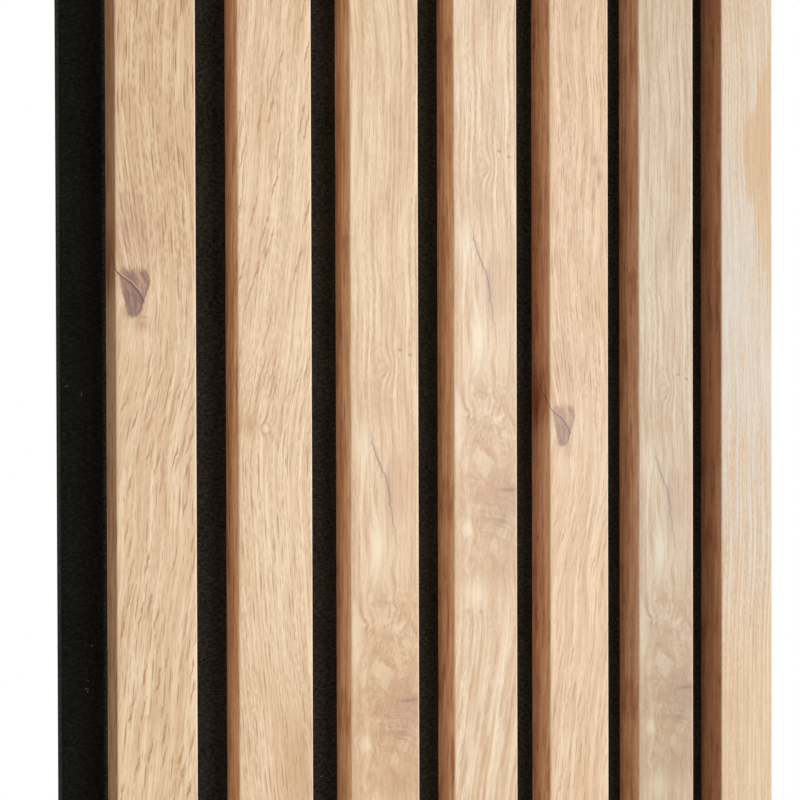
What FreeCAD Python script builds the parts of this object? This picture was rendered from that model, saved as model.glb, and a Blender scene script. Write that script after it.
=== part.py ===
import FreeCAD, Part
import math
import os

# Acoustic slat wall panel: fibreboard slats wrapped in decor foil and stapled to a felt board.
# +Z runs along the slats. The wall face of the felt lies in the plane y = 0 and the slats face -Y.
# The origin is the middle of the wall face. All sizes are in millimetres.

# Panel
panel_length = 1200.0
slat_count = 7
slat_gap = 14.0

# Felt board
felt_thickness = 9.0

# Slats: slat_width is measured over the foil
slat_width = 26.0
core_thickness = 12.0
core_arris_radius = 0.6
foil_thickness = 0.4

# Staples: one row across the panel for each row pitch, centred on the panel's length
crown_width = 8.8
wire_width = 1.25
wire_thickness = 1.05
staple_row_pitch = 150.0
staple_end_distance = 75.0
# The crown is sunk this far below the wall face
crown_sink = 0.3
# Fibreboard left uncut in front of the staple points
point_cover = 3.0
# Room around the wire in the felt and in the core
wire_clearance = 0.05

# The felt shows one gap wide beside the first slat, so panels set side by side keep the spacing.
slat_pitch = slat_width + slat_gap
panel_width = slat_count * slat_pitch
panel_left = -panel_width / 2
panel_right = panel_width / 2
panel_foot = -panel_length / 2

# Planes across the thickness, from the wall forwards
wall_y = 0.0
felt_front_y = wall_y - felt_thickness
core_front_y = felt_front_y - core_thickness
foil_front_y = core_front_y - foil_thickness

# Planes along a staple, from the wall forwards
crown_back_y = wall_y - crown_sink
crown_front_y = crown_back_y - wire_thickness
point_y = core_front_y + point_cover
bevel_y = point_y + wire_thickness
# A cut of this size across a bend's corner leaves the wire its full thickness there
bend_cut = wire_thickness * (2 - math.sqrt(2))

staple_row_count = 1 + int((panel_length - 2 * staple_end_distance) // staple_row_pitch)
first_row_z = -(staple_row_count - 1) * staple_row_pitch / 2
staple_rows = [first_row_z + row * staple_row_pitch for row in range(staple_row_count)]


def line(start, end):
    """Straight edge between two (x, y) points of a cross-section."""
    return Part.makeLine(FreeCAD.Vector(*start, 0), FreeCAD.Vector(*end, 0))


def arc(start, centre, end):
    """Quarter-circle edge from start to end about centre, by the point half way along it."""
    radius = abs(end[0] - centre[0]) + abs(end[1] - centre[1])
    toward = FreeCAD.Vector(start[0] + end[0] - 2 * centre[0], start[1] + end[1] - 2 * centre[1], 0)
    middle = FreeCAD.Vector(*centre, 0) + toward.normalize() * radius
    return Part.Arc(FreeCAD.Vector(*start, 0), middle, FreeCAD.Vector(*end, 0)).toShape()


def closed_polygon(points):
    """Edges of a closed polygon through (x, y) points."""
    return [line(start, end) for start, end in zip(points, points[1:] + points[:1])]


def prism(edges, foot, height):
    """Solid made by pushing a closed cross-section up from z = foot."""
    section = Part.Face(Part.Wire(edges))
    section.translate(FreeCAD.Vector(0, 0, foot))
    return section.extrude(FreeCAD.Vector(0, 0, height))


def round_front(left, right, front, radius):
    """Open path up one side, round the two front arrises and down the other side to the felt."""
    shoulder = front + radius
    return [
        line((left, felt_front_y), (left, shoulder)),
        arc((left, shoulder), (left + radius, shoulder), (left + radius, front)),
        line((left + radius, front), (right - radius, front)),
        arc((right - radius, front), (right - radius, shoulder), (right, shoulder)),
        line((right, shoulder), (right, felt_front_y)),
    ]


def make_foil(left):
    """Decor foil folded round the front and both sides of one core."""
    right = left + slat_width
    core_left = left + foil_thickness
    core_right = right - foil_thickness
    outside = round_front(left, right, foil_front_y, core_arris_radius + foil_thickness)
    inside = round_front(core_left, core_right, core_front_y, core_arris_radius)
    right_edge = line((right, felt_front_y), (core_right, felt_front_y))
    left_edge = line((core_left, felt_front_y), (left, felt_front_y))
    return prism(outside + [right_edge] + inside[::-1] + [left_edge], panel_foot, panel_length)


def make_core(left, pockets):
    """Fibreboard core with rounded front arrises, pierced by the staple legs."""
    core_left = left + foil_thickness
    core_right = left + slat_width - foil_thickness
    front = round_front(core_left, core_right, core_front_y, core_arris_radius)
    back = line((core_right, felt_front_y), (core_left, felt_front_y))
    return prism(front + [back], panel_foot, panel_length).cut(pockets)


def make_staple(middle_x, row_z):
    """Staple of flat wire: a crown, two bends cut across their corners and two legs with chisel points."""
    reach = crown_width / 2
    inner_reach = reach - wire_thickness
    right_half = [
        (reach - bend_cut, crown_back_y),
        (reach, crown_back_y - bend_cut),
        (reach, point_y),
        (inner_reach, bevel_y),
        (inner_reach, crown_front_y),
    ]
    left_half = [(-x, y) for x, y in reversed(right_half)]
    outline = [(middle_x + x, y) for x, y in right_half + left_half]
    return prism(closed_polygon(outline), row_z - wire_width / 2, wire_width)


def make_pocket(middle_x, row_z):
    """Space that one staple takes in the felt and the core: crown groove and two leg holes."""
    reach = crown_width / 2 + wire_clearance
    inner_reach = crown_width / 2 - wire_thickness - wire_clearance
    deep_y = point_y - wire_clearance
    right_half = [
        (reach, wall_y),
        (reach, deep_y),
        (inner_reach, deep_y),
        (inner_reach, crown_front_y),
    ]
    left_half = [(-x, y) for x, y in reversed(right_half)]
    outline = [(middle_x + x, y) for x, y in right_half + left_half]
    foot = row_z - wire_width / 2 - wire_clearance
    return prism(closed_polygon(outline), foot, wire_width + 2 * wire_clearance)


def make_felt(pockets):
    """Felt board across the whole panel, pierced by every staple."""
    outline = [
        (panel_left, wall_y),
        (panel_left, felt_front_y),
        (panel_right, felt_front_y),
        (panel_right, wall_y),
    ]
    return prism(closed_polygon(outline), panel_foot, panel_length).cut(pockets)


os.makedirs("parts", exist_ok=True)
nodes = {}
all_pockets = []
for number in range(1, slat_count + 1):
    slat_left = panel_left + slat_gap + (number - 1) * slat_pitch
    slat_middle = slat_left + slat_width / 2
    slat_pockets = [make_pocket(slat_middle, z) for z in staple_rows]
    all_pockets += slat_pockets
    nodes[f"slat_core_{number}"] = make_core(slat_left, slat_pockets)
    nodes[f"slat_foil_{number}"] = make_foil(slat_left)
    nodes[f"staples_{number}"] = Part.makeCompound([make_staple(slat_middle, z) for z in staple_rows])
nodes["felt_backing"] = make_felt(all_pockets)

for name, shape in nodes.items():
    shape.exportStep(f"parts/{name}.step")
    print(name, len(shape.Solids), "solids", round(shape.Volume, 2), "mm3")
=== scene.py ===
# %% [markdown]
# # Acoustic slat wall panel
# Seven oak-print slats stand on a black felt board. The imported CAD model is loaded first, as a fixed frame.
# It holds every size, so the pieces below read their places from it and none of them has to be fitted by eye.

# %% Load the frame
import math

import bpy
import numpy as np
from mathutils import Matrix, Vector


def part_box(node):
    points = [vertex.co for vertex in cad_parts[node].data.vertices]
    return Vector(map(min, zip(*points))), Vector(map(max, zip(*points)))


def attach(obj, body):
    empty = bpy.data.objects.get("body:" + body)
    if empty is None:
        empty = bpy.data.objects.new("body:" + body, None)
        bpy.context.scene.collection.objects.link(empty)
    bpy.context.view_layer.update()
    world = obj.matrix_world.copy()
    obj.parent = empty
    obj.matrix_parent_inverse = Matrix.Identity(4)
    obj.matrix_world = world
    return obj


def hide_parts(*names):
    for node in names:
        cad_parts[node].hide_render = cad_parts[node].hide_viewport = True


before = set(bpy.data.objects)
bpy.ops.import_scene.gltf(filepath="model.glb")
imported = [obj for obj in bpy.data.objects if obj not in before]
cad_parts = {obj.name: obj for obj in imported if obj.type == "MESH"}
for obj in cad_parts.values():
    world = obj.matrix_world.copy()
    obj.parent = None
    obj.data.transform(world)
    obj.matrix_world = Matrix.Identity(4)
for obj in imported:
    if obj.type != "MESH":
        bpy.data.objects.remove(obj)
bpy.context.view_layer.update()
MM = 0.001
SLATS = range(1, 8)
felt_low, felt_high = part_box("felt_backing")
slat_boxes = {slat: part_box(f"slat_foil_{slat}") for slat in SLATS}
panel_foot = felt_low.z
panel_top = felt_high.z

# %% [markdown]
# The camera comes first, because everything later is judged through it. It stands to the left of the panel,
# level with its middle, and turns to the right, so the left flank of each slat shows. Its place was found by
# fitting a pinhole camera to the slats' edges. A camera looks along its own -Z axis, so the three columns of
# its matrix are sideways, upwards and backwards.

# %% Camera
IMAGE_SIZE = 800
FOCAL_PIXELS = 1298.0
SENSOR = 36.0
camera_place = (-226.6 * MM, -422.6 * MM, 0.0)
camera_yaw = math.radians(26.415)
camera_pitch = math.radians(-0.463)
camera_roll = math.radians(0.154)
camera_data = bpy.data.cameras.new("photo_camera")
camera_data.sensor_width = SENSOR
camera_data.lens = FOCAL_PIXELS * SENSOR / IMAGE_SIZE
camera_data.clip_start = 0.02
camera = bpy.data.objects.new("photo_camera", camera_data)
turn = Matrix.Rotation(-camera_yaw, 4, "Z")
tilt = Matrix.Rotation(math.pi / 2 + camera_pitch, 4, "X")
roll = Matrix.Rotation(-camera_roll, 4, "Z")
camera.matrix_world = Matrix.Translation(camera_place) @ turn @ tilt @ roll
bpy.context.scene.collection.objects.link(camera)
bpy.context.scene.camera = camera
bpy.context.scene.view_settings.view_transform = "Standard"
print("lens in mm:", round(camera_data.lens, 2))

# %% [markdown]
# A mesh is a list of points and a list of faces that name them. Most pieces here are one closed outline
# carried along a path, so the points form a grid: one row for each station, one column for each point of the
# outline. Its faces follow from the grid's numbering alone, worked out once for all pieces.

# %% From arrays to meshes
SHARP_ANGLE = math.radians(40)


def swept_faces(rows, columns):
    """Four-cornered faces between neighbouring rows of a grid whose columns close into a ring: the corner at
    (row, column) has the number row * columns + column, and the column after the last is the first."""
    row, column = np.meshgrid(np.arange(rows - 1), np.arange(columns), indexing="ij")
    corner = row * columns + column
    beside = row * columns + (column + 1) % columns
    return np.stack([corner, beside, beside + columns, corner + columns], axis=-1).reshape(-1, 4)


def end_faces(rows, columns):
    """The two flat faces that close a swept outline: the first row read backwards, the last read forwards."""
    ring = np.arange(columns)
    return [ring[::-1].tolist(), ((rows - 1) * columns + ring).tolist()]


def add_piece(name, points, faces, nodes):
    """Makes a smooth-shaded mesh from points in metres, fixes it to the panel and hides the CAD nodes it
    stands for."""
    mesh = bpy.data.meshes.new(name)
    mesh.from_pydata(points.reshape(-1, 3).tolist(), [], faces)
    mesh.shade_smooth()
    mesh.set_sharp_from_angle(angle=SHARP_ANGLE)
    piece = bpy.data.objects.new(name, mesh)
    bpy.context.scene.collection.objects.link(piece)
    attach(piece, "root")
    if nodes:
        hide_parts(*nodes)
    print(name, len(mesh.vertices), "points", sum(len(f) - 2 for f in faces), "triangles")
    return piece


# %% [markdown]
# The same oak print is used on several slats of a real panel, each cut at another height, so like marks turn
# up on more than one slat. Here are four lanes of print and, for each slat, its lane and how far up the panel
# the lane's own zero lies. The print repeats along the slat, as from a printing roller.

# %% Which print is on which slat
PRINT_LANE = {1: "knot", 2: "flake", 3: "swirl", 4: "swirl", 5: "knot", 6: "swirl", 7: "pale"}
PRINT_HEIGHT = {1: 31.0, 2: 0.0, 3: 13.6, 4: 85.2, 5: -13.0, 6: 5.5, 7: 0.0}
PRINT_REPEAT = 520.0
LANE_START = {"knot": 0.0, "flake": 400.0, "swirl": 800.0, "pale": 1200.0}
# Sideways lean of the short strokes, as (height in the lane in mm, sideways run for each mm of height)
STROKE_LEAN = {
    "knot": [
        (-260, 0.0), (-170, 0.18), (-90, 0.22), (-50, 0.29), (-22, 0.30),
        (-6, 0.10), (16, -0.18), (36, -0.14), (60, 0.0), (260, 0.0),
    ],
    "flake": [
        (-260, 0.0), (-140, -0.42), (-90, -0.24), (-30, 0.0), (-5, 0.28),
        (35, 0.32), (70, 0.26), (130, 0.18), (260, 0.0),
    ],
    "swirl": [(-260, 0.0), (-225, 0.20), (-185, 0.18), (-160, 0.0), (260, 0.0)],
    "pale": [(-260, 0.0), (-120, 0.0), (-60, 0.04), (60, -0.04), (260, 0.0)],
}
# The fine pores follow the lean only in part
PORE_LEAN_SHARE = {"knot": 0.40, "flake": 0.35, "swirl": 0.8, "pale": 1.0}
print("print lanes:", sorted(set(PRINT_LANE.values())), "repeat in mm:", PRINT_REPEAT)

# %% From the print to its straight grain
WAVES = 6
GRAIN_WAVE = 0.8
GRAIN_SEED = 11
LANE_REACH = 1400.0
LANE_STEPS = 5601


def wave_noise(across, along, seed):
    """Smooth wandering of about one unit: twice the mean of a few sine waves whose lengths, slants and starts
    are drawn from a seeded generator."""
    draw = np.random.default_rng(seed)
    length = draw.uniform(45.0, 180.0, WAVES)
    slant = draw.uniform(-0.05, 0.05, WAVES)
    start = draw.uniform(0.0, 2 * np.pi, WAVES)
    turns = 2 * np.pi * along[..., None] / length + slant * across[..., None] + start
    return np.sin(turns).mean(axis=-1) * 2.0


def grain_place(across, along, lane):
    """Where a point of the print lies in the straight grain, in mm, before the grain was bent. Across the
    grain it is the sideways place less the lean added up along the slat and less a slow wave; the second
    sideways place is for the strokes, which lean more than the pores."""
    lane_mm = np.linspace(-LANE_REACH, LANE_REACH, LANE_STEPS)
    wrapped = (lane_mm + PRINT_REPEAT / 2) % PRINT_REPEAT - PRINT_REPEAT / 2
    height, lean = np.array(STROKE_LEAN[lane]).T
    run = np.cumsum(np.interp(wrapped, height, lean)) * (lane_mm[1] - lane_mm[0])
    run -= np.interp(0.0, lane_mm, run)
    drift = np.interp(along, lane_mm, run)
    wave = GRAIN_WAVE * wave_noise(across, along, GRAIN_SEED + int(LANE_START[lane]))
    pore = across - PORE_LEAN_SHARE[lane] * drift - wave + LANE_START[lane]
    stroke = across - drift - wave + LANE_START[lane]
    return np.stack([pore, along, stroke], axis=-1)


# %% [markdown]
# Each slat's decor foil is one strip, folded round the front and both flanks of the core. Its section is an
# open path with two small quarter circles at the front arrises, walked out on the outside and back on the
# inside, and carried straight up the slat. The print has to run round the arris without a break, so each
# point also stores its place on the unfolded strip and in the grain, as attributes that the material reads.

# %% Section of the folded foil
ARRIS_RADIUS = 0.6 * MM
FOIL_THICKNESS = 0.4 * MM
# Steps along a flank, round an arris and across the face
OUTSIDE_STEPS = (5, 6, 24)
INSIDE_STEPS = (1, 4, 2)


def folded_path(left, right, base, front, radius, steps):
    """Points up the left flank, round a quarter circle, across the face, round the other and back down: the
    left half is worked out and the right half is its mirror image."""
    flank_steps, arris_steps, face_steps = steps
    flank_y = np.linspace(base, front + radius, flank_steps + 1)[:-1]
    flank = np.stack([np.full(flank_steps, left), flank_y], axis=-1)
    angle = np.linspace(0.0, np.pi / 2, arris_steps + 1)
    arris_x = left + radius - radius * np.cos(angle)
    arris_y = front + radius - radius * np.sin(angle)
    face_x = np.linspace(left + radius, right - radius, face_steps + 1)[1:-1]
    face = np.stack([face_x, np.full(face_steps - 1, front)], axis=-1)
    start = np.concatenate([flank, np.stack([arris_x, arris_y], axis=-1)])
    mirrored = start[::-1] * [-1, 1] + [left + right, 0]
    return np.concatenate([start, face, mirrored])


# %% Map for baking the print
FOIL_ROWS = 201
BAKE_PARTS = 5
BAKE_GAP = 1.5
HIDDEN_STEP = 0.6
ENDS_AWAY = 12.0
ENDS_SCALE = 0.1
ENDS_APART = 2.0


def unfolded_map(strip_place, outside_count):
    """Flat places in mm for the corners of all faces of a foil: the strip is cut into lengths that lie side
    by side, the hidden inside takes a thin strip beside them, and the two ends lie beyond it, drawn small."""
    columns = len(strip_place)
    strip_place = strip_place - strip_place.min()
    strip = strip_place.max() + BAKE_GAP
    part_rows = (FOIL_ROWS - 1) // BAKE_PARTS
    part_length = (panel_top - panel_foot) / MM / BAKE_PARTS
    row = np.repeat(np.arange(FOIL_ROWS - 1), columns)[:, None]
    column = np.tile(np.arange(columns), FOIL_ROWS - 1)[:, None]
    corner_row = row + np.array([0, 0, 1, 1])
    corner_column = column + np.array([0, 1, 1, 0])
    part = row // part_rows
    map_u = strip_place[corner_column % columns] + part * strip
    map_v = (corner_row - part * part_rows) / part_rows * part_length
    hidden = column >= outside_count - 1
    hidden_u = BAKE_PARTS * strip + HIDDEN_STEP * (corner_column - outside_count + 1)
    map_u = np.where(hidden, hidden_u, map_u)
    map_v = np.where(hidden, corner_row / (FOIL_ROWS - 1) * part_length, map_v)
    end_u = BAKE_PARTS * strip + ENDS_AWAY + strip_place * ENDS_SCALE
    end_v = np.where(np.arange(columns) < outside_count, 0.0, HIDDEN_STEP)
    end = np.stack([end_u, end_v], axis=-1)
    sides = np.stack([map_u, map_v], axis=-1).reshape(-1, 2)
    return np.concatenate([sides, end[::-1], end + [0.0, ENDS_APART]])


# %% Foil strips
MAP_MARGIN = 0.001
foil_pieces = {}
station = np.linspace(panel_foot, panel_top, FOIL_ROWS)
for slat, (low, high) in slat_boxes.items():
    outside = folded_path(low.x, high.x, high.y, low.y, ARRIS_RADIUS, OUTSIDE_STEPS)
    inner_left = low.x + FOIL_THICKNESS
    inner_right = high.x - FOIL_THICKNESS
    inner_front = low.y + FOIL_THICKNESS
    inner_radius = ARRIS_RADIUS - FOIL_THICKNESS
    inside = folded_path(inner_left, inner_right, high.y, inner_front, inner_radius, INSIDE_STEPS)
    outline = np.concatenate([outside, inside[::-1]])
    columns = len(outline)
    points = np.empty((FOIL_ROWS, columns, 3))
    points[..., :2] = outline
    points[..., 2] = station[:, None]
    faces = swept_faces(FOIL_ROWS, columns).tolist() + end_faces(FOIL_ROWS, columns)
    piece = add_piece(f"slat_wrap_{slat}", points, faces, [f"slat_foil_{slat}"])

    # Unfolded place: across the face from its left edge, with the depth taken off or added on the flanks
    depth = (points[..., 1] - low.y) / MM
    across = (points[..., 0] - low.x) / MM
    across = across + np.where(across < (high.x - low.x) / MM / 2, -depth, depth)
    along = points[..., 2] / MM - PRINT_HEIGHT[slat]
    print_place = np.stack([across, along, np.zeros_like(along)], axis=-1)
    stored = {"print_place": print_place, "grain_place": grain_place(across, along, PRINT_LANE[slat])}
    for label, values in stored.items():
        attribute = piece.data.attributes.new(label, "FLOAT_VECTOR", "POINT")
        attribute.data.foreach_set("vector", values.astype(np.float32).ravel())
    flat_place = unfolded_map(across[0], len(outside))
    flat_place = flat_place / flat_place.max() * (1 - 2 * MAP_MARGIN) + MAP_MARGIN
    bake_map = piece.data.uv_layers.new(name="OFBake")
    bake_map.uv.foreach_set("vector", flat_place.astype(np.float32).ravel())
    foil_pieces[slat] = piece
print("print runs from", round(across.min(), 1), "to", round(across.max(), 1), "mm across the strip")

# %% [markdown]
# The felt board is pressed polyester fibre. Its front is nearly flat with a soft unevenness, and at the back
# each staple pulls it in. Both faces are one height field on an uneven grid, finer about the staples, so the
# dimples are round without a dense mesh all over.

# %% Where the staples are
STAPLE_ROWS = np.arange(-525.0, 526.0, 150.0) * MM
CROWN_WIDTH = 8.8 * MM
WIRE_WIDTH = 1.25 * MM
WIRE_THICKNESS = 1.05 * MM
CROWN_SINK = 0.3 * MM
slat_middles = np.array([(low.x + high.x) / 2 for low, high in slat_boxes.values()])
staple_x, staple_z = [grid.ravel() for grid in np.meshgrid(slat_middles, STAPLE_ROWS)]
print(len(staple_x), "staples")

# %% Felt board
DIMPLE_DEPTH = 1.0 * MM
DIMPLE_REACH = 1.6 * MM
FELT_UNEVEN = 0.12 * MM


def lines_about(low, high, centres, close, reach, step):
    """Grid lines from low to high: evenly spaced ones, and closer ones within reach of each centre."""
    coarse = np.linspace(low, high, int(round((high - low) / step)) + 1)
    fine = (centres[:, None] + np.linspace(-reach, reach, int(round(2 * reach / close)) + 1)).ravel()
    spare = np.abs(coarse[:, None] - centres).min(axis=1) > reach + close / 2
    spare[[0, -1]] = True
    return np.sort(np.concatenate([coarse[spare], fine]))


def dimple(x, z):
    """Depth of the felt's back under the staples: for each staple a flat-bottomed dip that follows the crown
    and falls off as a bell curve of the distance beyond the wire."""
    beyond_x = np.maximum(np.abs(x[..., None] - staple_x) - CROWN_WIDTH / 2, 0.0)
    beyond_z = np.maximum(np.abs(z[..., None] - staple_z) - WIRE_WIDTH / 2, 0.0)
    far = np.sqrt(beyond_x**2 + beyond_z**2).min(axis=-1) / DIMPLE_REACH
    return DIMPLE_DEPTH * np.exp(-far**2)


felt_x = lines_about(felt_low.x, felt_high.x, slat_middles, 1.0 * MM, 8.0 * MM, 4.0 * MM)
felt_z = lines_about(panel_foot, panel_top, STAPLE_ROWS, 0.8 * MM, 4.0 * MM, 12.0 * MM)
x, z = np.meshgrid(felt_x, felt_z)
waves_up = wave_noise(z / MM * 4, x / MM * 8, 3)
waves_across = wave_noise(x / MM, z / MM * 5, 4)
unevenness = FELT_UNEVEN * (0.5 + 0.25 * waves_up + 0.25 * waves_across)
front_sheet = np.stack([x, felt_low.y + np.clip(unevenness, 0, None), z], axis=-1)
back_sheet = np.stack([x, felt_high.y - dimple(x, z), z], axis=-1)
felt_points = np.concatenate([front_sheet, back_sheet[:, ::-1]], axis=1)
rows, columns = felt_points.shape[:2]
felt_faces = swept_faces(rows, columns).tolist() + end_faces(rows, columns)
felt_board = add_piece("felt_board", felt_points, felt_faces, ["felt_backing"])

# %% [markdown]
# Needled felt has loose fibres on its surface, and in the gaps they catch the light as a faint fuzz. Each
# fibre is a thin needle with one bend: two tips and a ring of three points between them, which makes six
# triangles. All of them together are one array, with a row for each fibre.

# %% Loose fibres in the gaps
FIBRE_COUNT = 22000
GAP_INSET = 0.3 * MM
END_INSET = 2 * MM
TIP_DEPTH = 0.05 * MM
boxes = list(slat_boxes.values())
gap_left = np.array([felt_low.x] + [high.x for low, high in boxes[:-1]]) + GAP_INSET
gap_right = np.array([low.x for low, high in boxes]) - GAP_INSET
fibre_draw = np.random.default_rng(20)
gap_number = fibre_draw.integers(0, len(gap_left), FIBRE_COUNT)
fibre_length = fibre_draw.uniform(0.8, 2.6, FIBRE_COUNT) * MM
fibre_angle = fibre_draw.uniform(0.0, np.pi, FIBRE_COUNT)
fibre_bend = fibre_draw.uniform(-0.35, 0.35, FIBRE_COUNT) * fibre_length
fibre_rise = fibre_draw.uniform(0.10, 0.45, FIBRE_COUNT) * MM
fibre_girth = fibre_draw.uniform(0.03, 0.08, FIBRE_COUNT) * MM
middle_x = fibre_draw.uniform(gap_left[gap_number], gap_right[gap_number])
middle_z = fibre_draw.uniform(panel_foot + END_INSET, panel_top - END_INSET, FIBRE_COUNT)
along_x = np.cos(fibre_angle)
along_z = np.sin(fibre_angle)


def fibre_points(forward, sideways, rise):
    """Points on all fibres at once: the middle moved forward along the fibre, sideways across it and out of
    the felt, kept between the slats."""
    px = middle_x + forward * along_x - sideways * along_z
    px = np.clip(px, gap_left[gap_number], gap_right[gap_number])
    pz = np.clip(middle_z + forward * along_z + sideways * along_x, panel_foot, panel_top)
    return np.stack([px, felt_low.y + TIP_DEPTH - rise, pz], axis=-1)


half = fibre_length / 2
none = np.zeros(FIBRE_COUNT)
tip_one = fibre_points(-half, none, none)
tip_two = fibre_points(half, none, none)
ring_one = fibre_points(none, fibre_bend - fibre_girth, fibre_rise)
ring_two = fibre_points(none, fibre_bend + fibre_girth, fibre_rise)
ring_three = fibre_points(none, fibre_bend, fibre_rise + 1.7 * fibre_girth)
fuzz_points = np.stack([tip_one, tip_two, ring_one, ring_two, ring_three], axis=1)
needle = np.array([[0, 2, 3], [0, 3, 4], [0, 4, 2], [1, 3, 2], [1, 4, 3], [1, 2, 4]])
fuzz_faces = (np.arange(FIBRE_COUNT)[:, None, None] * 5 + needle).reshape(-1, 3).tolist()
felt_fuzz = add_piece("felt_fuzz", fuzz_points, fuzz_faces, [])

# %% [markdown]
# The staples are flat wire, bent twice. A rounded section is carried along the U-shaped path of one staple,
# and the same array is then moved to every place at once.

# %% Staples
BEND_RADIUS = 0.9 * MM
STAPLE_POINT_Y = -18.0 * MM
SECTION_SIDES = 8
# How far the round section is cut flat: a circle this much larger than the wire, clipped to the wire
SECTION_CUT = 1.25
core_half = CROWN_WIDTH / 2 - WIRE_THICKNESS / 2
bend_angle = np.linspace(0.0, np.pi / 2, 5)
crown_y = felt_high.y - CROWN_SINK - WIRE_THICKNESS / 2
bend_x = core_half - BEND_RADIUS + BEND_RADIUS * np.sin(bend_angle)
bend_y = crown_y - BEND_RADIUS + BEND_RADIUS * np.cos(bend_angle)
half_path = np.concatenate([np.stack([bend_x, bend_y], -1), [[core_half, STAPLE_POINT_Y]]])
wire_path = np.concatenate([half_path[::-1] * [-1, 1], half_path])
heading = np.gradient(wire_path, axis=0)
heading /= np.linalg.norm(heading, axis=1, keepdims=True)
section_angle = (np.arange(SECTION_SIDES) + 0.5) * 2 * np.pi / SECTION_SIDES
section_out = WIRE_THICKNESS / 2 * np.clip(SECTION_CUT * np.cos(section_angle), -1, 1)
section_wide = WIRE_WIDTH / 2 * np.clip(SECTION_CUT * np.sin(section_angle), -1, 1)
outward = np.stack([-heading[:, 1], heading[:, 0]], axis=-1)
wire_xy = wire_path[:, None] + outward[:, None] * section_out[:, None]
wire_z = np.broadcast_to(section_wide, wire_xy.shape[:2])
one_staple = np.concatenate([wire_xy, wire_z[..., None]], axis=-1)
staple_shift = np.stack([staple_x, np.zeros_like(staple_x), staple_z], axis=-1)
staple_points = staple_shift[:, None, None] + one_staple
stations, around = one_staple.shape[:2]
wire_faces = swept_faces(stations, around)[:, ::-1]
offsets = np.arange(len(staple_x)) * stations * around
staple_faces = (wire_faces + offsets[:, None, None]).reshape(-1, 4).tolist()
for end in end_faces(stations, around):
    staple_faces += (np.array(end)[::-1] + offsets[:, None]).tolist()
staples = add_piece("staples", staple_points, staple_faces, [f"staples_{n}" for n in SLATS])

# %% [markdown]
# Materials are graphs of nodes. An output of a node is wrapped here as a signal that can be added, multiplied
# and so on, and each sum adds its node to the graph. So a finish can be written almost as a formula.

# %% Helpers: signals and sums
class Signal:
    """An output of a node, used in formulas like a number."""

    def __init__(self, tree, socket):
        self.tree = tree
        self.socket = socket

    def __add__(self, other):
        return maths("ADD", self, other)

    def __sub__(self, other):
        return maths("SUBTRACT", self, other)

    def __rsub__(self, other):
        return maths("SUBTRACT", other, self)

    def __mul__(self, other):
        return maths("MULTIPLY", self, other)

    def __truediv__(self, other):
        return maths("DIVIDE", self, other)


def feed(socket, value):
    """Links an input to a signal, or sets it to a number, vector or colour."""
    if isinstance(value, Signal):
        value.tree.links.new(value.socket, socket)
    else:
        socket.default_value = value


def add_node(tree, kind, values=(), **settings):
    """Adds a node, sets its named properties and feeds its inputs in their order."""
    node = tree.nodes.new(kind)
    for name, value in settings.items():
        setattr(node, name, value)
    for socket, value in zip(node.inputs, values):
        feed(socket, value)
    return node


def tree_of(values):
    """The node tree of the first signal among some values."""
    return next(value.tree for value in values if isinstance(value, Signal))


def signal(kind, values, output=0, **settings):
    """Adds a node beside its values and gives one of its outputs."""
    tree = tree_of(values)
    return Signal(tree, add_node(tree, kind, values, **settings).outputs[output])


def maths(operation, *values):
    """One sum: ADD, MULTIPLY, POWER and so on."""
    return signal("ShaderNodeMath", values, operation=operation)


def most(first, *others):
    """Largest of several values."""
    for other in others:
        first = maths("MAXIMUM", first, other)
    return first


def vectors(operation, *values):
    """One sum on whole vectors."""
    output = 1 if operation in ("DOT_PRODUCT", "LENGTH") else 0
    return signal("ShaderNodeVectorMath", values, output, operation=operation)


def split_vector(vector):
    """The three parts of a vector."""
    node = add_node(vector.tree, "ShaderNodeSeparateXYZ", [vector])
    return [Signal(vector.tree, output) for output in node.outputs]


def join_vector(*parts):
    """A vector from its parts; a part left out is 0."""
    return signal("ShaderNodeCombineXYZ", parts)


# %% Helpers: masks and patterns
def fade(value, start, end, low=0.0, high=1.0):
    """Smooth step from low where the value is at start to high where it is at end."""
    return signal("ShaderNodeMapRange", (value, start, end, low, high), interpolation_type="SMOOTHSTEP")


def between(value, one_end, other_end):
    """Mask of a stretch: each end is a pair, the value where the mask is 0 and the value where it is full."""
    return fade(value, *one_end) * fade(value, *other_end)


def line_at(value, centre, width, core):
    """Line where a value is at the centre, full within the core and gone beyond the width."""
    return fade(maths("ABSOLUTE", value - centre), width, core)


def contour(value, width):
    """Thin line where a value passes one half, fading out over the width."""
    return line_at(value, 0.5, width, width / 5)


def stretched(place, scale):
    """A place times a scale for each direction; a pair is for patterns in a plane."""
    if isinstance(scale, tuple) and len(scale) == 2:
        scale = (*scale, 1.0)
    return vectors("MULTIPLY", place, scale)


def noise(place, scale, detail=2.0, roughness=0.5):
    """Cloudy noise from 0 to 1; scale gives lumps for each unit in each direction."""
    node = add_node(place.tree, "ShaderNodeTexNoise")
    feed(node.inputs["Vector"], stretched(place, scale))
    feed(node.inputs["Scale"], 1.0)
    feed(node.inputs["Detail"], detail)
    feed(node.inputs["Roughness"], roughness)
    return Signal(place.tree, node.outputs[0])


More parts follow.
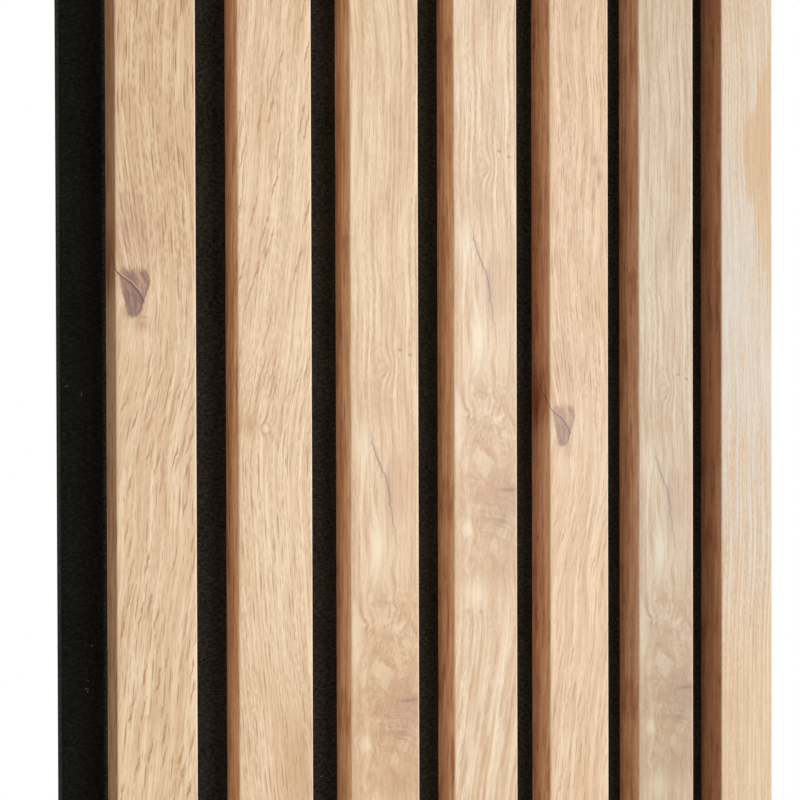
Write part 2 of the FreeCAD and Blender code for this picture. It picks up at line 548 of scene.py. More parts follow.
def dashes(place, scale, width, share):
    """Short tapered dashes: the distance to the nearest of scattered points in a stretched plane, cut off
    smoothly at a width given in cells, with about that share of the dashes printed, more or less strongly."""
    tree = place.tree
    node = add_node(tree, "ShaderNodeTexVoronoi", voronoi_dimensions="2D")
    feed(node.inputs["Vector"], stretched(place, scale))
    feed(node.inputs["Scale"], 1.0)
    chance = signal("ShaderNodeSeparateColor", [Signal(tree, node.outputs["Color"])])
    missing = 0.85 - share
    strength = fade(chance, missing, missing + 0.40)
    return fade(Signal(tree, node.outputs["Distance"]), width, width * 0.50) * strength


def drawn_curve(value, points):
    """A smooth curve through listed points, each given as (value, result), level beyond both ends."""
    given, wanted = np.array(points).T
    lowest = wanted.min()
    extent = np.ptp(wanted)
    shares = (given - given[0]) / (given[-1] - given[0])
    levels = (wanted - lowest) / extent
    node = add_node(value.tree, "ShaderNodeFloatCurve")
    curve = node.mapping.curves[0]
    curve.points[0].location = (0.0, levels[0])
    curve.points[1].location = (1.0, levels[-1])
    for share, level in zip(shares[1:-1], levels[1:-1]):
        curve.points.new(share, level)
    node.mapping.extend = "HORIZONTAL"
    node.mapping.update()
    feed(node.inputs["Value"], signal("ShaderNodeMapRange", (value, given[0], given[-1], 0.0, 1.0)))
    return Signal(value.tree, node.outputs[0]) * extent + lowest


# %% Helpers: colours, groups and materials
FLOAT = "NodeSocketFloat"
VECTOR = "NodeSocketVector"


def paint(red, green, blue):
    """Linear colour of a chip given by its screen values from 0 to 255, by the sRGB power curve."""
    chip = np.array([red, green, blue]) / 255
    linear = np.where(chip <= 0.04045, chip / 12.92, ((chip + 0.055) / 1.055) ** 2.4)
    return (*linear.tolist(), 1.0)


def mix(amount, first, second, blend_type="MIX"):
    """First colour where the amount is 0, second where it is 1."""
    tree = tree_of((amount, first, second))
    node = add_node(tree, "ShaderNodeMix", data_type="RGBA", blend_type=blend_type)
    for number, value in ((0, amount), (6, first), (7, second)):
        feed(node.inputs[number], value)
    return Signal(tree, node.outputs[2])


def stain(colour, mask, strength, chip):
    """Lays a chip over a colour where a mask is, as strongly as given."""
    return mix(mask * strength, colour, paint(*chip))


def named_signals(tree, sockets):
    """Signals of some outputs by their names."""
    return {socket.name: Signal(tree, socket) for socket in sockets}


def new_group(name, inputs, outputs):
    """Starts a shader node group with named sockets and returns it with the signals it is given and the
    sockets of its results."""
    group = bpy.data.node_groups.new(name, "ShaderNodeTree")
    for label, kind in inputs.items():
        group.interface.new_socket(label, in_out="INPUT", socket_type=kind)
    for label in outputs:
        group.interface.new_socket(label, in_out="OUTPUT", socket_type=FLOAT)
    given = named_signals(group, group.nodes.new("NodeGroupInput").outputs)
    return group, given, group.nodes.new("NodeGroupOutput").inputs


def use_group(group, **values):
    """Places a group beside its values, sets or links its inputs and returns its signals."""
    tree = tree_of(values.values())
    node = add_node(tree, "ShaderNodeGroup", node_tree=group)
    for label, value in values.items():
        feed(node.inputs[label], value)
    return named_signals(tree, node.outputs)


def new_material(name):
    """A fresh material with the inputs of its Principled shader."""
    material = bpy.data.materials.new(name)
    material.use_nodes = True
    return material, material.node_tree.nodes["Principled BSDF"].inputs


def object_place(material):
    """The place on the piece in metres."""
    tree = material.node_tree
    return Signal(tree, add_node(tree, "ShaderNodeTexCoord").outputs["Object"])


def stored_vector(tree, name):
    """A vector stored on the mesh's points."""
    return Signal(tree, add_node(tree, "ShaderNodeAttribute", attribute_name=name).outputs["Vector"])


def set_bump(shader, height, distance, strength):
    """Turns a height from 0 to 1 into a tilt of the surface; distance is its full depth in metres."""
    bump = add_node(height.tree, "ShaderNodeBump")
    feed(bump.inputs["Strength"], strength)
    feed(bump.inputs["Distance"], distance)
    feed(bump.inputs["Height"], height)
    feed(shader["Normal"], Signal(height.tree, bump.outputs[0]))


print("node helpers are ready")

# %% [markdown]
# Two effects serve all lanes of print. A soft spot is a bell-shaped patch at a given place and size. The
# grain is made of layers in the stored grain place: broad bands, fine streaks, long lines, pores, strokes and
# combed lines at an even spacing. Stretching a noise along the slat turns its lumps into streaks.

# %% Shared group: soft spot
spot_inputs = {"Place": VECTOR, "Centre": VECTOR, "Size": VECTOR}
soft_spot, given, result = new_group("Soft spot", spot_inputs, ["Mask"])
away = vectors("DIVIDE", vectors("SUBTRACT", given["Place"], given["Centre"]), given["Size"])
feed(result["Mask"], maths("EXPONENT", vectors("DOT_PRODUCT", away, away) * -1))
print("group:", soft_spot.name)

# %% Shared group: oak grain
COMB_SPACING = 2.35
COMB_SWAY = 2.4
STROKE_SWAY = 1.9
oak_grain, given, result = new_group(
    "Oak grain",
    {"Grain": VECTOR, "Bend": FLOAT, "Cell": VECTOR, "Share": FLOAT, "Width": FLOAT},
    ["Bands", "Streaks", "Lines", "Pores", "Strokes", "Fibre", "Comb"],
)
pore_across, along, stroke_across = split_vector(given["Grain"])
pore_across = pore_across + given["Bend"]
pore_place = join_vector(pore_across, along)
ragged = noise(pore_place, (0.9, 0.28)) - 0.5
stroke_place = join_vector(stroke_across + (ragged * STROKE_SWAY + given["Bend"]), along)

bands = noise(pore_place, (0.2, 0.01), 3) + noise(pore_place, (0.48, 0.035))
feed(result["Bands"], fade(bands, 0.82, 1.18))
feed(result["Streaks"], fade(noise(pore_place, (1.25, 0.028), 3, 0.6), 0.42, 0.64))
feed(result["Fibre"], noise(pore_place, (3.6, 0.22), 3, 0.7))

broken = fade(noise(pore_place, (1.5, 0.36)), 0.38, 0.6, 0.15, 1)
ridge_one = contour(noise(pore_place, (0.62, 0.005), 1), 0.06)
ridge_two = contour(noise(pore_place, (0.43, 0.0036), 1), 0.045)
feed(result["Lines"], most(ridge_one, ridge_two) * broken)
sway = noise(pore_place, (0.18, 0.007)) * COMB_SWAY
combed = maths("FRACT", sway + pore_across * (1 / COMB_SPACING))
feed(result["Comb"], contour(combed, 0.28) * fade(broken, 0, 1, 0.5, 1))

fine_pores = dashes(pore_place, (1.3, 0.12), 0.27, 0.45)
dark_pores = dashes(pore_place, (0.7, 0.04), 0.22, 0.5)
feed(result["Pores"], most(fine_pores * 0.7, dark_pores))
strokes = dashes(stroke_place, given["Cell"], given["Width"], given["Share"])
frayed = fade(noise(stroke_place, (2, 0.3)), 0.36, 0.58, 0.45, 1)
feed(result["Strokes"], strokes * frayed)
print("group:", oak_grain.name)

# %% [markdown]
# The knot is a dark eye with two lobes, parted by a crack that runs on round the arris. Its left edge, its
# right edge and the crack are three curves that give a sideways place for each height, drawn through a few
# points. Hair lines run between them, because they follow the share of the way from one to the next.

# %% Shared group: knot
KNOT_LEFT = [(-8.2, 5), (-6, 3.4), (-2, 2.6), (1.5, 1.6), (5, 1.2), (9, 2.2)]
KNOT_RIGHT = [
    (-8.2, 5.4), (-6.4, 7.8), (-3.2, 8.9), (1.5, 10.5), (3.4, 10.9), (5.5, 10.2), (7.6, 8.8), (9, 7.4),
]
KNOT_CRACK = [(-3.6, 8.7), (-0.4, 7.3), (1.5, 5.7), (3, 4.1), (4.9, 1.4), (6.5, 0), (17, -9.5)]
LEAST_LOBE = 1.2

knot, given, result = new_group("Knot", {"Place": VECTOR}, ["Body", "Hair", "Crack", "Rim", "Lobe", "Gleam"])
across, height, _ = split_vector(given["Place"])
left_edge = drawn_curve(height, KNOT_LEFT)
right_edge = drawn_curve(height, KNOT_RIGHT)
crack_line = drawn_curve(height, KNOT_CRACK)
ragged = noise(given["Place"], (0.55, 0.55), 3) - 0.5
frayed = noise(given["Place"], (2.6, 0.15)) - 0.5
eye_across = across + ragged * 1.4
eye_height = height + frayed * 6
from_left = eye_across - left_edge
from_right = right_edge - eye_across
from_crack = across + ragged * 0.6 - crack_line

inside = fade(maths("MINIMUM", from_left, from_right), -0.3, 0.6)
on_height = between(eye_height, (8.4, 5.6), (-8.6, -7.4))
lobe = fade(from_crack, -0.1, 0.3)
feed(result["Body"], inside * on_height)
feed(result["Lobe"], lobe)
feed(result["Rim"], line_at(from_right, 0.3, 0.75, 0.1) * on_height)

left_share = from_left / most(crack_line - left_edge, LEAST_LOBE)
right_share = from_right / most(right_edge - crack_line, LEAST_LOBE)
hair_share = left_share + lobe * (right_share - left_share)
hair_place = join_vector(hair_share, height, lobe)
feed(result["Hair"], fade(noise(hair_place, (5, 0.16, 3), 3, 0.6), 0.4, 0.62))

crack = line_at(from_crack, 0, fade(height, 9, 0, 0.45, 0.75), 0.1)
feed(result["Crack"], crack * between(height, (-4.2, -2.8), (22, 15)))
feed(result["Gleam"], line_at(from_crack, 1, 0.6, 0.1) * between(height, (-2, 1), (9, 6)))
print("group:", knot.name)

# %% [markdown]
# One function builds the oak foil of a slat. All lanes share the pale ground, the bands and the pores. Then
# the lane's own marks are added: the knot, the swirl with its crack and burl, the slanting flakes, or the
# chalky ground with a tan flame. Patches of the print are given as (across, height, half width, half height)
# in mm, and chips of paint by their screen values.

# %% Oak ground shared by all lanes
CREAM = (238, 212, 178)
IVORY = (242, 223, 193)
TAN = (214, 178, 138)
STREAK_BROWN = (196, 155, 114)
PORE_BROWN = (160, 118, 84)
STROKE_BROWN = (178, 134, 94)
LINE_BROWN = (184, 140, 98)


def spots(place, *patches):
    """Sum of bell-shaped patches of the print."""
    masks = []
    for across, height, wide, tall in patches:
        spot = use_group(soft_spot, Place=place, Centre=(across, height, 0), Size=(wide, tall, 1))
        masks.append(spot["Mask"])
    return sum(masks[1:], start=masks[0])


def lane_place(stored_place):
    """The print place with its height wrapped to one repeat of the print, and its two parts."""
    across, height, _ = split_vector(stored_place)
    height = maths("WRAP", height, PRINT_REPEAT / 2, -PRINT_REPEAT / 2)
    return join_vector(across, height), across, height


def grain_layers(tree, bend, cell, share, width):
    """The grain group on the slat's stored grain, bent sideways by a value in mm. Its strokes lie in cells of
    the given width and length in mm; a share of them is printed, as wide as given in cells."""
    grain = stored_vector(tree, "grain_place")
    scale = (1 / cell[0], 1 / cell[1], 1)
    return use_group(oak_grain, Grain=grain, Bend=bend, Cell=scale, Share=share, Width=width)


def oak_ground(layers, bands, streaks, lines, pores, strokes):
    """Cream to tan by the bands, then streaks, lines, strokes and pores over it, each as strong as given."""
    colour = mix(layers["Bands"] * bands, paint(*CREAM), paint(*TAN))
    colour = stain(colour, layers["Streaks"], streaks, STREAK_BROWN)
    colour = stain(colour, layers["Lines"], lines, LINE_BROWN)
    colour = stain(colour, layers["Strokes"], strokes, STROKE_BROWN)
    colour = stain(colour, layers["Pores"], pores, PORE_BROWN)
    return mix(fade(layers["Fibre"], 0.4, 0.68, 0, 0.25), colour, paint(*STREAK_BROWN))


# %% Marks of the knot lane
def knot_marks(place, across, height, ink):
    """Grain that swings to the right round the knot, strokes below it, and the knot over both."""
    bend = spots(place, (1, 3, 9, 16)) * -4 + spots(place, (7, -12, 7, 6)) * 1.5
    layers = grain_layers(place.tree, bend, (1.7, 20), 0.5, 0.27)
    above = between(height, (-10, 22), (258, 200))
    below = between(height, (-6, -24), (-258, -200))
    blush = spots(place, (5.5, 19, 6, 12))
    strokes = (below * 0.85 + blush * 0.6 + 0.12) * ink
    pores = fade(above, 0, 1, 0.65, 1) * ink
    streaks = fade(above, 0, 1, 0.2 * ink, 0.42 * ink)
    lines = fade(above, 0, 1, 0.35 * ink, 0.8 * ink)
    colour = oak_ground(layers, 0.75, streaks, lines, pores, strokes)
    colour = stain(colour, above, 0.18 * ink, (196, 156, 114))
    colour = stain(colour, blush, 0.35 * ink, (172, 132, 104))

    smear = spots(place, (8.4, -10.4, 2.8, 1.8), (8.3, -8, 2.4, 0.5))
    colour = stain(colour, smear, 0.5 * ink, (176, 126, 88))
    colour = stain(colour, spots(place, (-9.5, 9, 5, 12)), 0.8, (140, 92, 66))
    colour = stain(colour, spots(place, (5, -17, 3.5, 6)), 0.4, CREAM)
    marks = spots(place, (20, 98, 1.4, 2.6), (22, 92, 0.9, 2.2), (19.5, 85, 0.8, 3.4))
    colour = stain(colour, marks, 0.6, (166, 116, 88))

    eye = use_group(knot, Place=place)
    colour = stain(colour, eye["Body"], 0.92 * ink, (184, 136, 108))
    colour = stain(colour, eye["Body"] * (1 - eye["Lobe"]), 0.75 * ink, (144, 108, 92))
    colour = stain(colour, eye["Body"] * eye["Hair"], 0.8 * ink, (106, 74, 60))
    colour = stain(colour, eye["Body"] * eye["Gleam"], 0.5 * ink, (206, 160, 130))
    colour = stain(colour, spots(place, (4.7, -6.8, 1.7, 1.5)), 0.65 * ink, (128, 98, 88))
    colour = stain(colour, eye["Rim"], 0.7 * ink, (112, 80, 68))
    colour = stain(colour, eye["Crack"], min(1.15 * ink, 0.95), (74, 48, 40))
    return colour, layers


# %% Burl of the swirl lane
def burl_marks(colour, place, across, height, burl, lump, ink):
    """A tan ground, curly lines along a noise, hair lines in a folded place, brown and pale clouds, rays."""
    colour = stain(colour, burl, 0.5, (208, 170, 130))
    curls = contour(maths("FRACT", noise(place, (0.085, 0.06), 3, 0.45) * 9), 0.42)
    folded_place = join_vector(across + lump * 15, height + noise(place, (0.08, 0.11)) * 16)
    hairs = fade(noise(folded_place, (1.3, 0.24), 3, 0.65), 0.46, 0.6)
    flecks = fade(noise(folded_place, (0.22, 0.1)), 0.52, 0.66)
    mottle = fade(noise(place, (0.2, 0.15), 4, 0.6), 0.46, 0.64)
    colour = stain(colour, curls * burl, 0.2 * ink, (186, 144, 106))
    colour = stain(colour, hairs * burl, 0.62 * ink, (180, 136, 96))
    colour = stain(colour, flecks * burl, 0.55, (238, 214, 182))
    colour = stain(colour, mottle * burl, 0.7 * ink, (188, 144, 104))

    brown = spots(place, (20, -150, 8, 9), (18, -120, 9, 9))
    pearl = fade(spots(place, (5.2, -135, 2.4, 3.8)), 0.2, 0.8)
    cream = spots(place, (9, -158, 5, 5)) + pearl
    mauve = spots(place, (23, -127, 6, 11))
    colour = stain(colour, brown, 0.6 * ink, (184, 138, 100))
    colour = stain(colour, cream, 0.6, (238, 214, 180))
    colour = stain(colour, mauve, 0.5 * ink, (176, 140, 118))

    bow = maths("POWER", maths("ABSOLUTE", across - 9), 2)
    ray_place = join_vector(across, height + bow * 0.02 + lump * 6)
    rays = contour(noise(ray_place, (0.02, 0.36), 1), 0.055) * spots(place, (19, -130, 8, 8))
    colour = stain(colour, rays, 0.5 * ink, (150, 112, 90))
    return stain(colour, spots(place, (22.5, -121.4, 4, 0.6)), 0.65 * ink, (122, 92, 80))


# %% Wedge, crack and dots of the swirl lane
WEDGE_EDGE = [(-112, 0.5), (-106, 3), (-97, 5.4), (-90, 3.6), (-82, 0.6)]
CRACK_PATH = [(-72, 18), (-56.6, 15.5), (-46.6, 14), (-40.6, 11.5), (-33.6, 8.8), (-22.6, 6.5)]


def wedge_marks(colour, across, height, lump):
    """A pale wedge at the left edge, with a brown line along its upper side."""
    off = drawn_curve(height, WEDGE_EDGE) - (across + lump * 1.5 - 0.7)
    on_face = fade(across, -0.6, 0.8) * between(height, (-112, -106), (-82, -88))
    colour = stain(colour, fade(off, -0.3, 1.6) * on_face, 0.45, (238, 214, 180))
    line = line_at(off, -0.4, 0.9, 0.1) * on_face * fade(height, -104, -94)
    return stain(colour, line, 0.45, (178, 132, 92))


def crack_marks(colour, place, across, height, ink):
    """A slanting crack with its mauve shadow, and four dots."""
    wander = (noise(place, (0.1, 0.55), 3) - 0.5) * 2.2
    off = across + wander - drawn_curve(height, CRACK_PATH)
    length = between(height, (-24, -34), (-74, -50))
    colour = stain(colour, spots(place, (14.4, -47, 2, 9)), 0.6 * ink, (172, 134, 112))
    colour = stain(colour, line_at(off, 0, 1.7, 0) * length, 0.35 * ink, (172, 136, 112))
    colour = stain(colour, line_at(off, 0, 0.34, 0.06) * length, 0.75 * ink, (110, 78, 62))
    dots = spots(place, (18.7, 0, 0.7, 0.5), (22.6, -1.7, 0.7, 0.5))
    low_dots = spots(place, (5.3, -164, 0.6, 0.9), (10.5, -164.5, 0.5, 0.8))
    return stain(colour, dots + low_dots * 0.6, 0.7, (120, 86, 64))


# %% Marks of the swirl lane
def swirl_marks(place, across, height, ink):
    """Combed lines, a small swirl and a pale tongue, then the burl, the wedge and the crack over them."""
    swirl = spots(place, (14, -6, 3, 5))
    tongue = spots(place, (9.8, -68, 2.6, 12))
    burl = spots(place, (14, -128, 15, 26), (16, -95, 14, 14))
    burl = maths("MINIMUM", burl, 1)
    lump = noise(place, (0.11, 0.07))
    bend = swirl * -3 + tongue * -3 + (lump - 0.5) * burl * 15
    layers = grain_layers(place.tree, bend, (2.6, 18), 0.6, 0.46)
    low = between(height, (-165, -195), (-258, -215))
    calm = 1 - most(burl * 0.8, low * 0.4)
    streaks, lines, pores = [calm * (share * ink) for share in (0.2, 0.4, 0.3)]
    colour = oak_ground(layers, 0.8, streaks, lines, pores, low * 0.5)
    combed = layers["Comb"] * calm * fade(layers["Bands"], 0, 1, 0.5, 1)
    colour = stain(colour, combed, 0.54 * ink, LINE_BROWN)
    colour = stain(colour, tongue, 0.8, IVORY)
    colour = stain(colour, spots(place, (4.8, -33, 3, 9)), 0.6, IVORY)
    colour = stain(colour, spots(place, (19, -48, 6, 16)), 0.45 * ink, (206, 168, 134))
    colour = stain(colour, spots(place, (6.3, -62, 1, 12)), 0.45 * ink, (192, 150, 112))
    rings = contour(maths("FRACT", swirl * 2.5), 0.5)
    colour = stain(colour, rings * swirl, 0.22 * ink, (196, 152, 112))
    colour = burl_marks(colour, place, across, height, burl, lump, ink)
    colour = wedge_marks(colour, across, height, lump)
    return crack_marks(colour, place, across, height, ink), layers


# %% Marks of the flake lane
RING_CENTRE = (9.4, -12.8)


def flake_marks(place, across, height, ink):
    """Slanting flakes above, straight dotted pores below, a pale ring and a brown smudge between them."""
    bend = spots(place, (*RING_CENTRE, 2.2, 2.4)) * 1.6
    layers = grain_layers(place.tree, bend, (1.7, 34), 0.52, 0.25)
    above = between(height, (-18, 4), (258, 200))
    pores = fade(above, 1, 0, 0.38, 0.6)
    colour = oak_ground(layers, 0.6, 0.3, 0.5, pores, (above + 0.05) * ink)
    colour = stain(colour, spots(place, (3.5, -11.7, 4.5, 2.6)), 0.5, (184, 136, 90))
    from_centre = vectors("SUBTRACT", place, (*RING_CENTRE, 0))
    ring = vectors("LENGTH", vectors("DIVIDE", from_centre, (1.5, 1.7, 1)))
    ring = ring + (noise(place, (0.8, 0.8)) - 0.5) * 0.9
    colour = mix(fade(ring, 1, 0.3, 0, 0.6), colour, paint(240, 220, 186))
    colour = stain(colour, line_at(ring, 1.15, 0.35, 0.05), 0.3, (172, 128, 86))
    colour = stain(colour, spots(place, (21, -122, 7, 18)), 0.45, (188, 144, 102))
    return colour, layers


# %% Marks of the pale lane
FLAME_EDGE = [
    (28, 26), (50, 20), (70, 16), (96, 9.5), (112, 15.5), (134, 22), (155, 28),
]


def pale_marks(place, across, height, ink):
    """Chalky ground, tan towards the foot, with a tan flame at the right edge and rows of tan streaks."""
    layers = grain_layers(place.tree, 0, (1.8, 20), 0.45, 0.28)
    colour = oak_ground(layers, 0.6, 0.3, 0.35, 0.22, 0)
    warmth = fade(height, -45, -125) + fade(height, 60, 140, 0, 0.4)
    warmth = warmth + fade(height, 180, 250, 0, 0.6)
    chalk = mix(warmth, paint(214, 200, 181), paint(236, 202, 160))
    on_face = fade(across, -0.8, 0.3)
    colour = mix(fade(layers["Bands"], 0, 1, 0.88, 0.45) * on_face, colour, chalk)

    off = across - drawn_curve(height, FLAME_EDGE)
    flame = fade(off + layers["Streaks"] * 4, 0, 4.5) * between(height, (20, 40), (160, 140))
    colour = stain(colour, flame, 0.8, (208, 166, 114))

    upper = between(height, (65, 100), (240, 180)) * fade(across, 20, 8, 0.4, 1)
    lower = fade(height, 0, -25) * fade(height, -140, -95, 0.35, 1)
    strength = (upper * 0.6 + lower * 0.75 + flame * 0.5 + 0.45) * on_face
    rows = most(most(layers["Lines"], layers["Strokes"]) * 0.7, layers["Comb"])
    return stain(colour, rows * strength, 0.72, (208, 158, 102)), layers


LANE_MARKS = {"knot": knot_marks, "swirl": swirl_marks, "flake": flake_marks, "pale": pale_marks}
print("lanes with marks:", list(LANE_MARKS))

# %% [markdown]
# Now each slat gets its foil, with its own tint on the face and a warmer one on the flanks. The face tint is
# partly the slat's own tone and partly painted shade that evens out the key lamp's glare and falloff; the
# flank tint is painted shade, warmed as by bounce light. The satin lacquer is a little rougher in the pores
# than between them, and the pores are pressed in slightly, so the soft light breaks up along the grain. Along
# its two folds the foil gets a painted highlight, a pale line that is strong at the right fold and faint at
# the left.

# %% Oak foil of each slat
# Tint of each slat's foil: partly the slat's own tone, partly painted shade that evens out the key lamp's
# glare and falloff
SLAT_TONE_AND_SHADE = {
    1: (0.945, 0.94, 0.92), 2: (0.975, 0.97, 0.96), 3: (0.97, 0.97, 0.955), 4: (0.99, 1.02, 1.07),
    5: (0.945, 0.925, 0.915), 6: (0.757, 0.8, 0.83), 7: (0.84, 0.885, 0.94),
}
SLAT_INK = {1: 1, 2: 0.9, 3: 0.9, 4: 0.9, 5: 0.6, 6: 0.85, 7: 1}
# Tint of the flanks, set for each slat: painted shade, warmed as by bounce light
FLANK_SHADE_TINT = {
    1: (0.9, 0.72, 0.59), 2: (1.31, 1.08, 0.91), 3: (1.22, 1.11, 0.99), 4: (1.23, 1.02, 0.85),
    5: (1.12, 0.95, 0.84), 6: (1.37, 1.12, 0.98), 7: (0.83, 0.58, 0.45),
}
# Places of the painted highlight lines along the two folds, in mm across the strip
LEFT_FOLD_HIGHLIGHT = 0.1
RIGHT_FOLD_HIGHLIGHT = 25.9
PORE_DEPTH = 0.05 * MM


def oak_foil(slat):
    """Printed foil of one slat: lane marks, flanks with darker smudges and a painted shade tint, the slat's
    own tone mixed with painted shade, a painted highlight along the folds and a satin finish."""
    material, shader = new_material(f"oak_foil_{slat}")
    lane = PRINT_LANE[slat]
    whole_place = stored_vector(material.node_tree, "print_place")
    place, across, height = lane_place(whole_place)
    colour, layers = LANE_MARKS[lane](place, across, height, SLAT_INK[slat])
    flank = fade(across, 0.3, -0.8) + fade(across, 25.7, 26.8)
    own_place = vectors("ADD", whole_place, (LANE_START[lane], 0, 0))
    smudge = fade(noise(own_place, (0.26, 0.045), 4, 0.65), 0.49, 0.64)
    drift = fade(noise(own_place, (0.45, 0.01), 4, 0.6), 0.4, 0.62)
    # Painted shade on the flanks by their tint
    colour = mix(flank, colour, (*FLANK_SHADE_TINT[slat], 1), "MULTIPLY")
    colour = mix(flank * drift * 0.45, colour, paint(206, 178, 168), "MULTIPLY")
    colour = mix(flank * smudge * 0.5, colour, paint(180, 130, 98), "MULTIPLY")
    # The slat's tint: its own tone together with painted shade
    colour = mix(1, colour, (*SLAT_TONE_AND_SHADE[slat], 1), "MULTIPLY")
    # Painted highlight: a pale line along the right fold and a faint one along the left
    painted_fold_highlight = line_at(across, RIGHT_FOLD_HIGHLIGHT, 0.8, 0.1) * 0.6 + line_at(across, LEFT_FOLD_HIGHLIGHT, 0.7, 0.1) * 0.12
    feed(shader["Base Color"], mix(painted_fold_highlight, colour, paint(248, 232, 208)))
    feed(shader["Roughness"], layers["Streaks"] * 0.08 + layers["Pores"] * 0.12 + 0.48)
    set_bump(shader, layers["Fibre"] * 0.4 - layers["Pores"], PORE_DEPTH, 0.5)
    feed(shader["Coat Weight"], 0.1)
    feed(shader["Coat Roughness"], 0.25)
    return material


for slat, piece in foil_pieces.items():
    piece.data.materials.append(oak_foil(slat))
print("foil finishes:", len(foil_pieces))

# %% [markdown]
# Felt is matt and nearly black, but not even: fibres lie over each other in all directions. Three stretched
# noises at different turns stand for the fibre layers. The front of the free strip at the panel's left edge
# is painted darker than the felt in the gaps, as painted shade.

# %% Felt
STRIP_END = slat_boxes[1][0].x
# How strongly the painted shade darkens the free strip
STRIP_SHADE_TONE = 0.25
FIBRE_TURNS = (10, 70, 130)
FIBRE_DEPTH = 0.25 * MM


def fibre_layers(place):
    """Fibres in three directions: the same stretched noise, with the plane turned each time."""
    layers = []
    for degrees in FIBRE_TURNS:
        turned = add_node(place.tree, "ShaderNodeMapping", [place])
        feed(turned.inputs["Rotation"], (0, math.radians(degrees), 0))
        turned_place = Signal(place.tree, turned.outputs[0])
        layers.append(fade(noise(turned_place, (2600, 1500, 650)), 0.5, 0.72))
    return most(*layers)


def felt_finish(name, dark, light, lint):
    """Matt felt between a dark and a light chip, by its fibres, tufts and slow clouds, with pale lint, and
    with painted shade on the front of the free strip at the left edge.
    """
    material, shader = new_material(name)
    place = object_place(material)
    fibres = fibre_layers(place)
    tuft = fade(noise(place, (620, 900, 1250), 4, 0.65), 0.38, 0.72)
    tone = fibres * 0.35 + tuft * 0.55 + noise(place, (90, 90, 60), 3) * 0.3
    across, depth, _ = split_vector(place)
    # Painted shade: the front of the free strip left of the first slat is darkened
    shaded_free_strip = fade(across, STRIP_END, STRIP_END - 2 * MM) * fade(depth, -4 * MM, -8 * MM)
    tone = tone * fade(shaded_free_strip, 0, 1, 1, STRIP_SHADE_TONE)
    stray = fade(noise(place, (170, 170, 170)), 0.7, 0.74, 0, lint)
    colour = mix(tone, paint(*dark), paint(*light))
    feed(shader["Base Color"], mix(stray, colour, paint(196, 194, 184)))
    feed(shader["Roughness"], fade(fibres, 0, 1, 0.98, 0.85))
    feed(shader["Specular IOR Level"], 0)
    set_bump(shader, fibres, FIBRE_DEPTH, 0.9)
    return material


felt_board.data.materials.append(felt_finish("black_felt", (12, 12, 10), (82, 81, 74), 0))
felt_fuzz.data.materials.append(felt_finish("black_felt_fuzz", (38, 39, 34), (100, 100, 91), 0.9))
print("felt finishes: board and fuzz")

# %% [markdown]
# The sawn ends show the fibreboard inside the foil: brown and finely speckled. The CAD cores keep their shape
# and only get this finish. The staples are galvanised wire, with a faint spangle and scratches along it.

# %% Fibreboard
SAW_DEPTH = 0.12 * MM
board_finish, shader = new_material("fibreboard")
place = object_place(board_finish)
speckle = noise(place, (1500, 2600, 1500), 4, 0.7)
clump = noise(place, (350, 900, 350), 3)
colour = mix(fade(speckle, 0.3, 0.7), paint(150, 112, 74), paint(196, 160, 116))
feed(shader["Base Color"], mix(fade(clump, 0.5, 0.75, 0, 0.4), colour, paint(128, 92, 60)))
feed(shader["Roughness"], fade(speckle, 0.2, 0.8, 0.95, 0.75))
set_bump(shader, speckle, SAW_DEPTH, 0.6)
for slat in SLATS:
    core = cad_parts[f"slat_core_{slat}"]
    core.data.materials.clear()
    core.data.materials.append(board_finish)
print("cores with a fibreboard finish:", len(SLATS))

# %% Galvanised staple wire
SCRATCH_DEPTH = 0.02 * MM
wire_finish, shader = new_material("staple_wire")
place = object_place(wire_finish)
spangle = fade(noise(place, (900, 900, 900), 3), 0.35, 0.65)
scratch = noise(place, (300, 5000, 6000))
feed(shader["Base Color"], mix(spangle, paint(172, 174, 176), paint(206, 207, 206)))
feed(shader["Roughness"], fade(scratch, 0.3, 0.7, 0.28, 0.5))
feed(shader["Metallic"], 1)
set_bump(shader, scratch, SCRATCH_DEPTH, 0.4)
staples.data.materials.append(wire_finish)
print("wire finish:", wire_finish.name)

# %% [markdown]
# The studio has a wide soft lamp in front at the right, a weaker one at the left for the flanks, and one
# behind for the felt's back. The camera and mirror-like surfaces see an even white world, while it lights the
# panel less strongly. The floor is a pale disc at the panel's foot that fades out towards its rim.

# %% Studio
WORLD_LEVEL = 0.11


def soft_lamp(name, place, watts, wide, tall):
    """Rectangular lamp at a place in metres, turned to face the panel's middle."""
    data = bpy.data.lights.new(name, "AREA")
    data.shape = "RECTANGLE"
    data.size = wide
    data.size_y = tall
    data.energy = watts
    lamp = bpy.data.objects.new(name, data)
    lamp.location = place
    turn_z = math.atan2(place[0], -place[1])
    lean_x = math.pi / 2 - math.atan2(place[2], math.hypot(place[0], place[1]))
    lamp.rotation_euler = (lean_x, 0, turn_z)
    bpy.context.scene.collection.objects.link(lamp)
    print(name, watts, "watts")


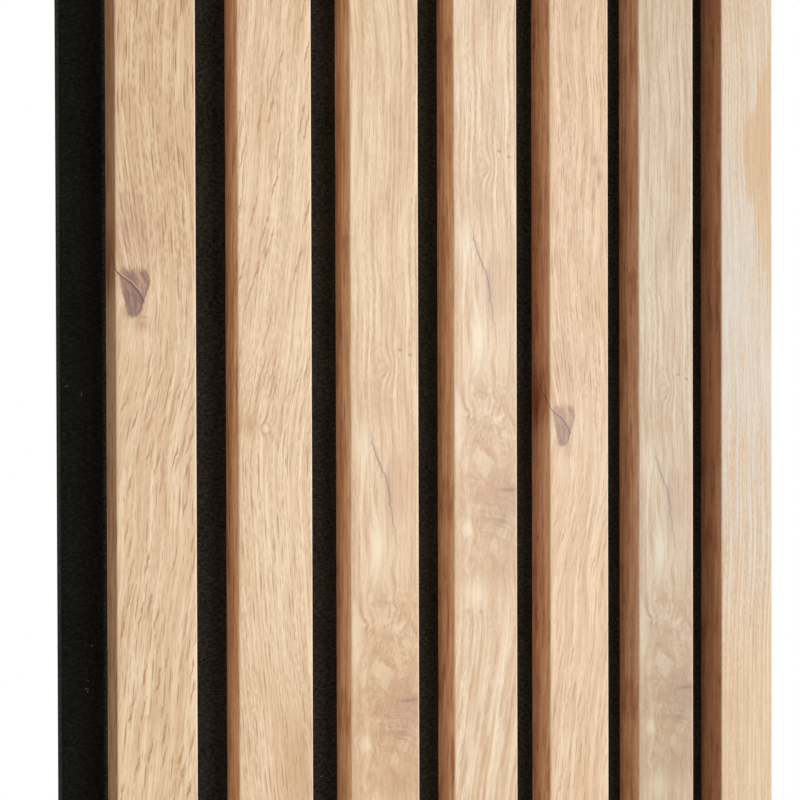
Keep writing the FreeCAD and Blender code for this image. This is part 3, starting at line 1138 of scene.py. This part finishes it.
soft_lamp("key_lamp", (1.55, -1.83, 0.1), watts=61, wide=2.4, tall=1.4)
soft_lamp("fill_lamp", (-1.13, -0.65, 0.1), watts=6.2, wide=0.8, tall=1.2)
soft_lamp("back_lamp", (-0.75, 2.1, 0.95), watts=45, wide=1.2, tall=1.2)

world = bpy.data.worlds.new("studio")
bpy.context.scene.world = world
world.use_nodes = True
backdrop = world.node_tree.nodes["Background"].inputs
feed(backdrop["Color"], (1, 1, 1, 1))
ray = named_signals(world.node_tree, add_node(world.node_tree, "ShaderNodeLightPath").outputs)
seen = most(ray["Is Camera Ray"], ray["Is Glossy Ray"], ray["Is Transmission Ray"])
feed(backdrop["Strength"], fade(seen, 0, 1, WORLD_LEVEL, 1))

# %% Floor
FLOOR_RADIUS = 1.15
FLOOR_FADE_START = 0.5
FLOOR_SIDES = 72
FLOOR_DROP = 0.5 * MM
ring_radius = np.array([0.0002, 0.35, 0.7, FLOOR_RADIUS])
ring_turn = np.arange(FLOOR_SIDES) * 2 * np.pi / FLOOR_SIDES
floor_points = np.empty((len(ring_radius), FLOOR_SIDES, 3))
floor_points[..., 0] = ring_radius[:, None] * np.cos(ring_turn)
floor_points[..., 1] = ring_radius[:, None] * np.sin(ring_turn)
floor_points[..., 2] = panel_foot - FLOOR_DROP
floor_faces = swept_faces(len(ring_radius), FLOOR_SIDES)[:, ::-1].tolist()
floor_mesh = bpy.data.meshes.new("floor")
floor_mesh.from_pydata(floor_points.reshape(-1, 3).tolist(), [], floor_faces)
floor = bpy.data.objects.new("floor", floor_mesh)
bpy.context.scene.collection.objects.link(floor)
floor_finish, shader = new_material("pale_floor")
place = object_place(floor_finish)
from_middle = vectors("LENGTH", vectors("MULTIPLY", place, (1, 1, 0)))
feed(shader["Alpha"], fade(from_middle, FLOOR_RADIUS, FLOOR_FADE_START))
cloud = noise(place, (9, 9, 9))
feed(shader["Base Color"], mix(cloud, (0.84, 0.84, 0.83, 1), (0.88, 0.88, 0.87, 1)))
feed(shader["Roughness"], 0.8)
floor_mesh.materials.append(floor_finish)
print("floor at", round(floor_points[0, 0, 2] / MM, 1), "mm")
